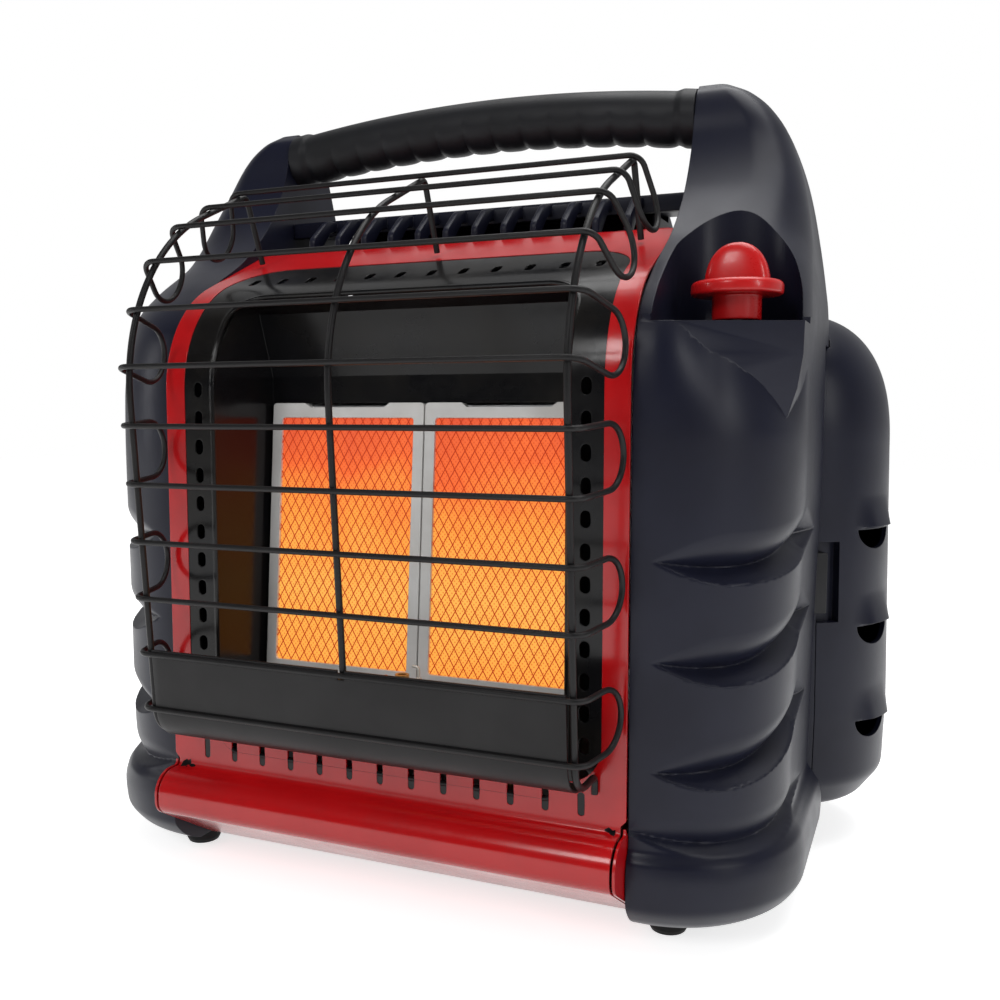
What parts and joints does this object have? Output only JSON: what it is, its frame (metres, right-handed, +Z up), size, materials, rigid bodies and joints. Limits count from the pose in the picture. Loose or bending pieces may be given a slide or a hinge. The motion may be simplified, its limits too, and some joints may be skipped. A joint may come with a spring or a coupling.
{
  "type": "portable propane heater",
  "caption": "Portable radiant gas heater: red sheet front with a wire guard over two ceramic burners, side housings with round cylinder doors, arched carry handle and a top knob.",
  "frame": {"origin": "floor under the middle of the heater's bounding box", "axes": "+Z up, front towards -Y, +X to the right when seen from the front"},
  "size_m": [0.4316, 0.2964, 0.406],
  "materials": {
    "red_paint": "glossy baked enamel",
    "black_enamel": "glossy black enamel",
    "satin_black_wire": "satin black coat",
    "housing_plastic": "fine-textured satin plastic",
    "grip_rubber": "matt soft grip",
    "foot_rubber": "matt",
    "knob_plastic": "glossy",
    "ceramic_tile": "glowing porous ceramic",
    "frame_enamel": "off-white heat-proof coat",
    "screen_steel": "heat-browned",
    "plain_steel": "plain",
    "zinc_steel": "zinc-coated",
    "brass": "machined",
    "copper": "drawn copper pipe",
    "die_cast": "die-cast",
    "black_plastic": "moulded",
    "porcelain": "glazed"
  },
  "bodies": {
    "heater": {"base_pan": "black_enamel", "battery_box": "black_plastic", "burner_box_left": "zinc_steel", "burner_box_right": "zinc_steel", "burner_tile_left": "ceramic_tile", "burner_tile_right": "ceramic_tile", "dc_inlet": "black_plastic", "deflector_plate": "satin_black_wire", "door_hinge_pins_left": "plain_steel", "door_hinge_pins_right": "plain_steel", "fan_frame": "black_plastic", "fan_motor": "black_plastic", "fan_switch": "black_plastic", "firebox_shell": "black_enamel", "front_panel": "red_paint", "gas_line_left": "copper", "gas_line_right": "copper", "gas_manifold": "brass", "guard_rings": "satin_black_wire", "guard_uprights": "satin_black_wire", "handle_core": "plain_steel", "handle_grip": "grip_rubber", "heat_shield": "zinc_steel", "housing_left": "housing_plastic", "housing_right": "housing_plastic", "orifice_left": "brass", "orifice_right": "brass", "pilot_bracket": "zinc_steel", "pilot_burner": "brass", "rear_cover": "housing_plastic", "rear_cover_screws": "zinc_steel", "reflector_surround": "black_enamel", "rubber_feet": "foot_rubber", "spark_electrode": "porcelain", "supply_pipe": "copper", "swivel_elbow_left": "brass", "swivel_elbow_right": "brass", "thermocouple": "copper", "tile_frame_left": "frame_enamel", "tile_frame_right": "frame_enamel", "tile_screen_left": "screen_steel", "tile_screen_right": "screen_steel", "tip_over_switch": "black_plastic", "top_grille": "housing_plastic", "valve_body": "brass"},
    "spindle": {"valve_spindle": "plain_steel"},
    "knob": {"control_knob": "knob_plastic"},
    "right_door": {"cylinder_door_right": "housing_plastic"},
    "left_door": {"cylinder_door_left": "housing_plastic"},
    "right_latch": {"door_latch_right": "black_plastic"},
    "left_latch": {"door_latch_left": "black_plastic"},
    "right_regulator": {"regulator_right": "die_cast"},
    "left_regulator": {"regulator_left": "die_cast"},
    "fan": {"fan_blade": "black_plastic"},
    "rocker": {"fan_rocker": "black_plastic"},
    "battery_cover": {"battery_door": "housing_plastic"}
  },
  "joints": [
    {"name": "spindle_turn", "type": "hinge", "parent": "heater", "child": "spindle", "pos_m": [0.1527, -0.052, 0.2716], "axis": [0, 0, 1], "range_deg": [0, 180]},
    {"name": "knob_push", "type": "slide", "parent": "spindle", "child": "knob", "axis": [0, 0, -1], "range_m": [0, 0.0018], "stiffness_N_per_m": 1500},
    {"name": "rocker_tilt", "type": "hinge", "parent": "heater", "child": "rocker", "pos_m": [0.076, 0.144, 0.251], "axis": [1, 0, 0], "range_deg": [-10, 10]},
    {"name": "fan_spin", "type": "hinge", "parent": "heater", "child": "fan", "pos_m": [0, 0.134, 0.222], "axis": [0, 1, 0], "continuous": true},
    {"name": "battery_cover_hinge", "type": "hinge", "parent": "heater", "child": "battery_cover", "pos_m": [0, 0.1455, 0.033], "axis": [-1, 0, 0], "range_deg": [0, 90]},
    {"name": "right_door_hinge", "type": "hinge", "parent": "heater", "child": "right_door", "pos_m": [0.1035, 0.137, 0.145], "axis": [0, 0, 1], "range_deg": [0, 105]},
    {"name": "right_latch_slide", "type": "slide", "parent": "right_door", "child": "right_latch", "axis": [0, 0, 1], "range_m": [-0.0032, 0.0032]},
    {"name": "right_regulator_swing", "type": "hinge", "parent": "heater", "child": "right_regulator", "pos_m": [0.146, 0.05, 0.245], "axis": [0, 0, -1], "range_deg": [0, 48]},
    {"name": "left_door_hinge", "type": "hinge", "parent": "heater", "child": "left_door", "pos_m": [-0.1035, 0.137, 0.145], "axis": [0, 0, -1], "range_deg": [0, 105]},
    {"name": "left_latch_slide", "type": "slide", "parent": "left_door", "child": "left_latch", "axis": [0, 0, 1], "range_m": [-0.0032, 0.0032]},
    {"name": "left_regulator_swing", "type": "hinge", "parent": "heater", "child": "left_regulator", "pos_m": [-0.146, 0.05, 0.245], "axis": [0, 0, 1], "range_deg": [0, 48]}
  ],
  "couplings": [
    {"joint": "right_regulator_swing", "follows": "right_door_hinge", "ratio": 0.45714},
    {"joint": "left_regulator_swing", "follows": "left_door_hinge", "ratio": 0.45714}
  ]
}
